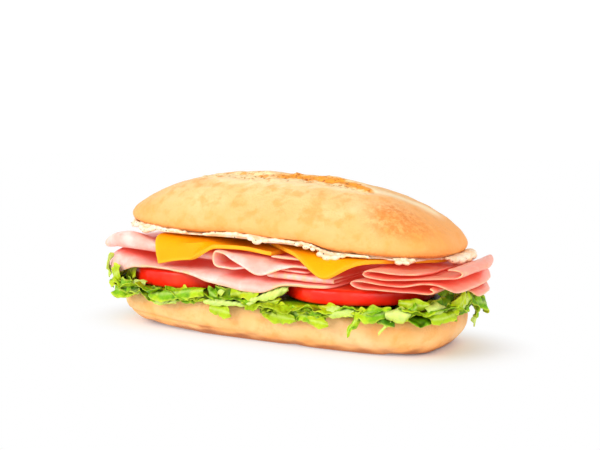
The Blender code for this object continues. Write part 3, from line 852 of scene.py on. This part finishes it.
# %% [markdown]
# ## Chopped blades
#
# Between the long strips lie many short chopped blades. Each is a small grid that is laid along
# the roll's outline, turned, tapered at its ends, cupped, and ruffled at its edges, then given a
# thickness. The ones in the photograph's foreground are placed one by one. The rest are random,
# from a fixed seed. Few of those lie in the foreground, where they are also smaller and lower.
# In front of the tomatoes they all lie outside the roll's line, because there is no room inside.

# %% One blade
BLADE_THICKNESS = 0.55 * MM
# The dark tone is partly dark leaves and partly painted shade, where a dark blade fills a hollow.
TONES = {  # young, deep, rib
    "bright": (0.1, 0.0, 0.0),
    "young": (0.8, 0.0, 0.0),
    "deep": (0.0, 0.75, 0.0),
    "pale": (0.4, 0.0, 0.75),
    "rib": (0.2, 0.0, 0.95),
}
random.seed(11)


def blade(tone, start, end, width, face=60, twist=30, bow=1.5, cup=0.8, frill=1.4, taper=0.45):
    """A chopped leaf from start to end, each (along the outline, out, up) in millimetres.

    face is the slope of its width: 0 lies flat, and 90 hangs straight down.
    """
    length = abs(end[0] - start[0]) + abs(end[2] - start[2])
    bpy.ops.mesh.primitive_grid_add(x_subdivisions=max(8, int(length)), y_subdivisions=6, size=1)
    made = bpy.context.object
    at = places(made)
    u, v = at[:, 0] + 0.5, at[:, 1] * 2
    path = np.outer(1 - u, start) + np.outer(u, end)
    seed = random.uniform(0, 99)
    half = width / 2 * (taper + (1 - taper) * np.sin(math.pi * np.clip(u, 0.02, 0.98)) ** 0.6)
    half *= 1 + 0.18 * np.sin(9 * u + seed) + 0.12 * np.sin(23 * u * (1 + 0.2 * v) + seed)
    slope = np.radians(face + twist * (u - 0.5) + 14 * np.sin(6 * u + seed))
    ruffle = frill * np.abs(v) ** 1.5 * np.sin(length * u * 0.55 + 1.3 * np.sign(v) + seed)
    ruffle += 0.5 * frill * np.abs(v) ** 2.5 * np.sin(length * u * 1.4 + 2 * np.sign(v) + 3 * seed)
    crease = 0.35 * np.sin(length * u * 1.3 + 3 * v + seed)
    off = cup * (1 - v**2) + ruffle + crease
    here, outward = roll_line.at(path[:, 0] * MM)
    out = path[:, 1] + bow * 4 * u * (1 - u) + half * v * np.cos(slope) + off * np.sin(slope)
    up = path[:, 2] - half * v * np.sin(slope) + off * np.cos(slope)
    flat = here + outward * (out * MM)[:, None]
    put(made, np.column_stack([flat, up * MM]))
    modify(made, "SOLIDIFY", thickness=BLADE_THICKNESS, offset=0)
    points = len(made.data.vertices)
    v = np.resize(v, points) if points == 2 * len(v) else np.zeros(points)
    young, deep, rib = (share * random.uniform(0.8, 1.1) for share in TONES[tone])
    vein = 0.35 * np.exp(-((v / 0.14) ** 2)) * (tone != "deep")
    paint(made, "young", np.full(points, young))
    paint(made, "deep", np.full(points, deep))
    paint(made, "rib", np.maximum(rib * (1 - 0.5 * np.abs(v)), vein))
    paint(made, "rim", ramp(0.75, 1.0, np.abs(v)))
    subdivide(made, 1)
    return made


def joined(pieces, name):
    """The pieces as one, with this name, at the origin and unturned."""
    bpy.ops.object.select_all(action="DESELECT")
    for made in pieces:
        made.select_set(True)
    bpy.context.view_layer.objects.active = pieces[0]
    bpy.ops.object.join()
    pieces[0].name = name
    only(pieces[0])
    bpy.ops.object.transform_apply(location=True, rotation=True, scale=True)
    return pieces[0]


# %% Blades in the foreground
front_blades = [
    blade("pale", (-98, 7, 29), (-96, 7, 39), 9, 80, 20, 0),
    blade("young", (-99, 2, 25), (-84, 4, 32), 12, 95, 30),
    blade("young", (-93, -4, 31), (-80, -5, 33), 14, 85, 10, 0, 1, 1),
    blade("young", (-104, 1, 27), (-92, 3, 25), 9, 60, -40),
    blade("bright", (-88, 5, 19.8), (-74, 4, 25.8), 10, 70, 40, 1, 1, 2.2),
    blade("deep", (-84, 3, 24.8), (-70, 3, 22.8), 7, 60, -40, 1, 1, 2),
    blade("pale", (-76, 3, 25.8), (-66, 2, 26.8), 5, 60, 20, 0.5, 0.5, 1),
    blade("bright", (-60, 6, 20.8), (-24, 4, 25.8), 8, 50, 40, 2, 2, 0.4, 0.35),
    blade("pale", (-58, 5, 17.8), (-42, 6, 19.8), 4, 80, 10, 1, 0.5, 1),
    blade("young", (-45, 2, 25), (-30, 3, 23), 8, 60, 30),
    blade("rib", (-24, 5, 20.8), (8, 5, 22.2), 3.6, 50, 20, 0.5, 0.8, 0.2, 0.6),
    blade("young", (-21, 4, 18), (-7, 5, 16.5), 8, 92, 10, 0.5, 0.5, 0.8),
    # A dark blade that stands for painted shade in a hollow.
    blade("deep", (-20, 2, 26), (-7, 2, 25.5), 7, 75, 10, 0, -1.5, 0.3, 0.8),
    blade("bright", (-24, 1, 26.8), (-17, 1, 22.8), 7, 70, 30),
    blade("young", (-9, 1, 26), (10, 2, 28), 8, 65, -40, 1, 1, 1.6),
    blade("pale", (5, 4, 23.5), (26, 0, 31.5), 6.5, 60, 30, 1, 1, 0.6, 0.25),
    blade("young", (9, 3, 22.3), (22, 2, 24.8), 6, 60, 10, 1, 0.8, 1),
    blade("young", (12, 4, 18.8), (33, 5, 17.3), 8, 85, 20, 1, 0.6, 1.6),
    blade("bright", (28, 4, 20.8), (50, 4, 17.8), 7, 70, 40, 1, 0.8, 2),
    blade("pale", (49, 4, 22.8), (66, 4, 23.3), 6, 60, 10, 1, 0.8, 0.6),
    blade("young", (40, 5, 17.8), (52, 5, 16.8), 6, 80, 10, 1, 0.6, 1.4),
    blade("bright", (63, 6, 13.3), (70, 4, 23.8), 7, 85, 30, 1, 0.8, 1.2),
    blade("bright", (66, 4, 21.8), (83, 3, 25.3), 8, 60, 40, 1.5, 1.2, 1),
    blade("pale", (78, 7, 14.8), (83, 5, 20.8), 2.2, 60, 60, 1, 0.3, 0.3),
    blade("pale", (81, 4, 23.5), (91, 4, 24.5), 7.5, 70, 10, 1.5, 3.2, 0.3, 0.3),
    blade("rib", (83, 5, 22.5), (89, 5, 23), 4, 70, 10, 1, 2, 0.2, 0.3),
    blade("bright", (88, 4, 22.5), (94, 3, 28), 6, 70, 30, 1, 1, 1.4),
    blade("pale", (97, 4, 25), (106, 4, 26), 7.5, 70, -10, 1.5, 3.2, 0.3, 0.3),
    blade("rib", (99, 5, 24.5), (104, 5, 25), 4, 70, -10, 1, 2, 0.2, 0.3),
    blade("deep", (100, 3, 25), (118, 2, 30), 8, 60, 30, 1, 1, 1),
    blade("bright", (101, 4, 23), (128, 3, 27), 7, 65, -30, 1.5, 1, 1.4),
    blade("bright", (110, 0, 30), (121, 1, 34), 7, 80, 20, 1, 1, 1),
    blade("young", (118, 2, 27), (136, 3, 33), 10, 75, 30, 1, 1.4, 1.2),
    blade("young", (110, 6, 23.5), (123, 7, 31), 8, 75, 20, 1, 1, 1),
    blade("bright", (119, 6, 22), (131, 7, 31), 8, 80, -20, 1, 1, 1.2),
    blade("pale", (116, 7.5, 24), (124, 8, 29), 4, 75, 20, 0.5, 0.8, 0.4),
    blade("young", (98, 7, 21.5), (112, 7, 22.5), 6, 70, 20, 1, 1, 1),
    blade("bright", (132, 5, 29), (140, 7, 18), 9, 80, 20, 2, 1, 1.4),
    blade("bright", (140, 5, 25), (152, 7, 20), 9, 80, -20, 2, 1, 1.4),
    blade("pale", (138, 6, 13), (143, 6, 21), 6, 80, 20, 0.5, 0.5, 0.6),
]
front_leaves = joined(front_blades, "lettuce_blades_front")
complete(front_leaves, lettuce_material, "lettuce")

# %% Blades all round
BLADE_COUNT = 110
BLADE_HEIGHT = 24.5
FOREGROUND_END = 165  # millimetres round from the front middle, over the +X end
FOREGROUND_START = 105  # millimetres before the front middle
TOMATO_ROOM = ((-57, 33), (46, 36))  # middle and half length of each tomato, in millimetres


def room_inside(along):
    """The least distance out for a blade, in millimetres. It keeps blades off the tomatoes."""
    (x, y), _ = roll_line.at(np.float64(along * MM))
    if y < -30 * MM and any(abs(x / MM - middle) < half for middle, half in TOMATO_ROOM):
        return 1.0
    return -6.0


scattered = []
for i in range(BLADE_COUNT):
    along = roll_line.length / MM * (i + random.random()) / BLADE_COUNT
    inner = room_inside(along)
    in_foreground = not FOREGROUND_END < along < roll_line.length / MM - FOREGROUND_START
    if in_foreground and i % 3:
        continue
    out = random.uniform(inner, 3 if in_foreground else 5)
    height = BLADE_HEIGHT - 0.7 * out + random.uniform(-1, 0.5 if in_foreground else 2.5)
    reach = random.uniform(8, 20)
    tone = random.choices(("bright", "young", "deep", "pale"), (5, 4, 2, 1.2))[0]
    start = (along, out, height)
    rise = random.uniform(-3, 0.5 if in_foreground else 3)
    end = (along + reach, random.uniform(inner, 6), height + rise)
    width = random.uniform(4, 6) if in_foreground else random.uniform(5, 9)
    scattered.append(
        blade(tone, start, end, width, random.uniform(30, 90), random.uniform(-60, 60))
    )
scattered_leaves = joined(scattered, "lettuce_blades_round")
complete(scattered_leaves, lettuce_material, "lettuce")

# %% Painted shade on covered places of the leaves
LEAF_LOOK = 8 * MM
lettuce_pieces += [front_leaves, scattered_leaves]
leaf_tree = tree_of([*lettuce_pieces, *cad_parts.values()])
for leaf in lettuce_pieces:
    at = places(leaf)
    outer = (beyond_roll(at) > -5 * MM) & ((at[:, 1] < -30 * MM) | (np.abs(at[:, 0]) > 80 * MM))
    covered_shade = evened(leaf, closed_in(leaf, leaf_tree, LEAF_LOOK, outer), 2)
    # Painted shade: darker where other leaves cover this one.
    paint(leaf, "covered_shade", ramp(0.4, 1.0, covered_shade))
print("covered places painted on", len(lettuce_pieces), "pieces")

# %% [markdown]
# ## Spread
#
# A creamy white sauce with cracked pepper squeezes out under the top of the roll. Its lumps are
# small round blobs set along the edge of the node's layer. Where no sauce shows, there are no
# blobs and the layer is drawn in a little. A voxel remesh melts the blobs and the layer into one
# skin, as thick sauce does, and smoothing rounds it.

# %% Spread material
spread = Finish("creamy spread", 0.28, 0.4, 1.5 * MM, (1, 0.8, 0.6))
spread.layer(srgb(246, 212, 174))
spread.layer(srgb(253, 232, 206), spread.noise(5 * MM, 0.4, 0.6, 3))
spread.relief(spread.noise(2 * MM, 0.3, 0.7, 3), 0.3, 0.3 * MM)
spread_material = spread.done()

# %% The node's layer, drawn in where it is bare
SPREAD_HEIGHT = 54.1 * MM
BLOB_GAP = 1.9 * MM
BLOB_SHAPE = (1.3, 1.1, 0.85)
BLOBS_START = -150  # the place along the lip, in millimetres, where the row of blobs starts
BARE_STRETCHES = ((-41, -29), (70, 81), (93, 114))  # no spread shows here, in millimetres
DRAWN_IN = 0.06
LIP_ARCH = 2.8 * MM
DRIPS = {  # place along the lip: (out, lower, radius), in millimetres
    -76: (0.0, 1.6, 2.2),
    -72: (0.3, 2.4, 2.5),
    -67: (0.0, 1.4, 2.0),
    3: (0.4, 0.8, 1.8),
    7: (0.8, 1.8, 2.3),
    12: (0.4, 1.0, 1.7),
    31: (0.4, 0.6, 1.5),
    36: (0.6, 1.4, 1.6),
    40: (0.6, 1.2, 1.3),
    44: (0.6, 1.8, 1.8),
    48: (0.8, 2.6, 2.2),
    52: (0.6, 2.2, 1.9),
    56: (0.2, 1.0, 1.3),
    84: (0.2, 1.4, 1.7),
    88: (0.2, 1.4, 1.6),
    118: (0.8, 1.0, 2.4),
    123: (1.6, 1.4, 3.0),
    129: (2.2, 1.0, 3.4),
    135: (2.4, 0.4, 3.4),
    141: (1.6, 0.0, 2.8),
}


def arch_of_lip(x, y):
    """How far the node's lip is raised over the middle of the front."""
    raised = ramp(-40 * MM, -8 * MM, x) * (1 - ramp(36 * MM, 47 * MM, x))
    return LIP_ARCH * raised * (1 - ramp(-40 * MM, -20 * MM, y))


spread_layer = copy_of_node("spread", "white_spread")
at = places(spread_layer)
nearest = np.argmin(np.linalg.norm(at[:, None, :2] - lip_line_round.points, axis=2), axis=1)
place_round = lip_line_round.reached[nearest] / MM
lip_length = lip_line_round.length / MM
bare = np.zeros(len(at))
for start, end in BARE_STRETCHES:
    bare[(place_round > start % lip_length) & (place_round < end % lip_length)] = 1
at[:, :2] *= (1 - DRAWN_IN * bare)[:, None]
put(spread_layer, at)

# %% The layer and its blobs as one skin
spots = []
for along in np.arange(BLOBS_START, lip_length + BLOBS_START, BLOB_GAP / MM):
    if not any(start < along < end for start, end in BARE_STRETCHES):
        thick = 1.2 + 0.35 * math.sin(along / 7.3) * math.sin(along / 3.1 + 1)
        thick *= 0.75 if 25 < along < 90 else 1  # thinner right of the middle
        spots.append((along, random.uniform(-1.5, -0.9), random.uniform(-0.2, 0.5), thick))
spots += [(along, *drip) for along, drip in DRIPS.items()]

blobs = [spread_layer]
for along, out, lower, radius in spots:
    here, outward = lip_line_round.at(np.float64(along * MM))
    x, y = here + outward * out * MM
    z = SPREAD_HEIGHT + LEAN * x + arch_of_lip(x, y) - lower * MM
    bpy.ops.mesh.primitive_ico_sphere_add(subdivisions=2, radius=radius * MM, location=(x, y, z))
    blob = bpy.context.object
    blob.scale = BLOB_SHAPE
    blobs.append(blob)
spread_layer = joined(blobs, "white_spread")
modify(spread_layer, "REMESH", mode="VOXEL", voxel_size=0.55 * MM)
modify(spread_layer, "SMOOTH", factor=0.6, iterations=4)
complete(spread_layer, spread_material, "spread", "spread")

# %% Pepper
PEPPER_GRAINS = 60
pepper = Finish("cracked pepper", 0.6)
pepper.layer(srgb(70, 60, 44))
pepper_material = pepper.done()

faces = [
    face
    for face in spread_layer.data.polygons
    if abs(face.normal.z) < 0.75 and (face.center.y < -20 * MM or face.center.x > 80 * MM)
]
grains = bmesh.new()
for face in random.sample(faces, PEPPER_GRAINS):
    made = bmesh.ops.create_icosphere(grains, subdivisions=1, radius=random.uniform(0.2, 0.45) * MM)
    for vertex in made["verts"]:
        vertex.co = vertex.co * random.uniform(0.7, 1.2) + face.center
pepper_mesh = bpy.data.meshes.new("pepper")
grains.to_mesh(pepper_mesh)
grains.free()
pepper_specks = bpy.data.objects.new("pepper_specks", pepper_mesh)
bpy.context.scene.collection.objects.link(pepper_specks)
complete(pepper_specks, pepper_material, "spread")
